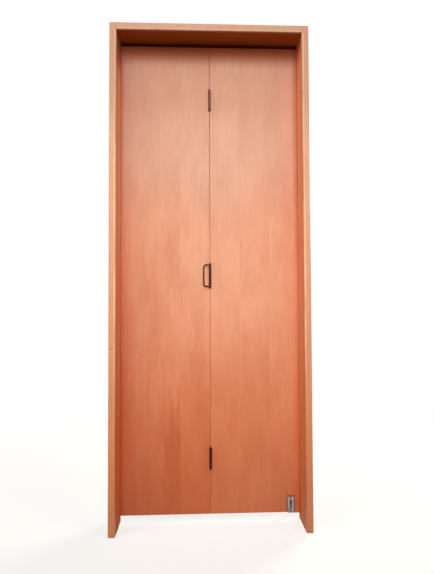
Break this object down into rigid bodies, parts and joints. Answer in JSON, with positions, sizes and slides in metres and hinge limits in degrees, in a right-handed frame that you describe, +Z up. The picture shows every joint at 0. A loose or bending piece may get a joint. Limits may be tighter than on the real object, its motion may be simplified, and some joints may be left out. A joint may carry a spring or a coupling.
{
  "type": "folding flush door",
  "caption": "Tall two-leaf folding flush door hung in its own wooden frame, with butt hinges on the meeting edges, a bail pull and a bottom pivot plate.",
  "frame": {"origin": "bottom centre of the door set's box, midway between the feet of the two jambs", "axes": "+X to the right as seen from the recessed front, +Y away from the front towards the side the leaves fold to, +Z up"},
  "size_m": [0.866, 0.14, 2.186],
  "materials": {
    "frame_wood": "satin varnish",
    "leaf_veneer": "satin varnish",
    "core_wood": "sawn",
    "hinge_bronze": "dark bronze",
    "track_black": "matt black",
    "zinc_steel": "zinc plated",
    "nylon": "moulded"
  },
  "bodies": {
    "frame": {"left_jamb": "frame_wood", "right_jamb": "frame_wood", "head_jamb": "frame_wood", "frame_screws": "zinc_steel", "top_track": "track_black", "track_screws": "zinc_steel", "top_socket": "nylon", "top_socket_screw": "zinc_steel", "pivot_bracket": "zinc_steel", "bracket_screws": "zinc_steel", "pivot_bush": "nylon"},
    "right_leaf": {"right_leaf_front_skin": "leaf_veneer", "right_leaf_back_skin": "leaf_veneer", "right_leaf_meeting_stile": "core_wood", "right_leaf_outer_stile": "core_wood", "right_leaf_top_rail": "core_wood", "right_leaf_bottom_rail": "core_wood", "right_leaf_core_battens": "core_wood", "top_pivot_sleeve": "zinc_steel", "top_pivot_pin": "zinc_steel", "pivot_plate": "zinc_steel", "pivot_plate_screws": "zinc_steel", "pivot_bolt": "zinc_steel", "pivot_nut": "zinc_steel", "upper_hinge_right_flap": "hinge_bronze", "middle_hinge_right_flap": "hinge_bronze", "lower_hinge_right_flap": "hinge_bronze", "right_hinge_screws": "hinge_bronze", "upper_hinge_pin": "hinge_bronze", "middle_hinge_pin": "hinge_bronze", "lower_hinge_pin": "hinge_bronze", "hinge_tips": "hinge_bronze"},
    "left_leaf": {"left_leaf_front_skin": "leaf_veneer", "left_leaf_back_skin": "leaf_veneer", "left_leaf_meeting_stile": "core_wood", "left_leaf_outer_stile": "core_wood", "left_leaf_top_rail": "core_wood", "left_leaf_bottom_rail": "core_wood", "left_leaf_core_battens": "core_wood", "upper_hinge_left_flap": "hinge_bronze", "middle_hinge_left_flap": "hinge_bronze", "lower_hinge_left_flap": "hinge_bronze", "left_hinge_screws": "hinge_bronze", "guide_sleeve": "zinc_steel", "guide_pin": "zinc_steel"},
    "guide_roller": {"guide_roller": "nylon"},
    "bail_handle": {"bail_handle": "hinge_bronze"}
  },
  "joints": [
    {"name": "leaf_fold", "type": "hinge", "parent": "frame", "child": "right_leaf", "pos_m": [0.356, 0.0525, 0.036], "axis": [0, 0, -1], "range_deg": [0, 85]},
    {"name": "meeting_hinge", "type": "hinge", "parent": "right_leaf", "child": "left_leaf", "pos_m": [0, 0.0285, 1.097], "axis": [0, 0, 1], "range_deg": [0, 170]},
    {"name": "roller_spin", "type": "hinge", "parent": "left_leaf", "child": "guide_roller", "pos_m": [-0.356, 0.0525, 2.148], "axis": [0, 0, 1], "continuous": true},
    {"name": "bail_swing", "type": "hinge", "parent": "left_leaf", "child": "bail_handle", "pos_m": [0, 0.0285, 1.097], "axis": [0, 0, -1], "range_deg": [0, 20]}
  ],
  "couplings": [
    {"joint": "meeting_hinge", "follows": "leaf_fold", "ratio": 2},
    {"joint": "bail_swing", "follows": "leaf_fold", "ratio": 0.23529}
  ]
}
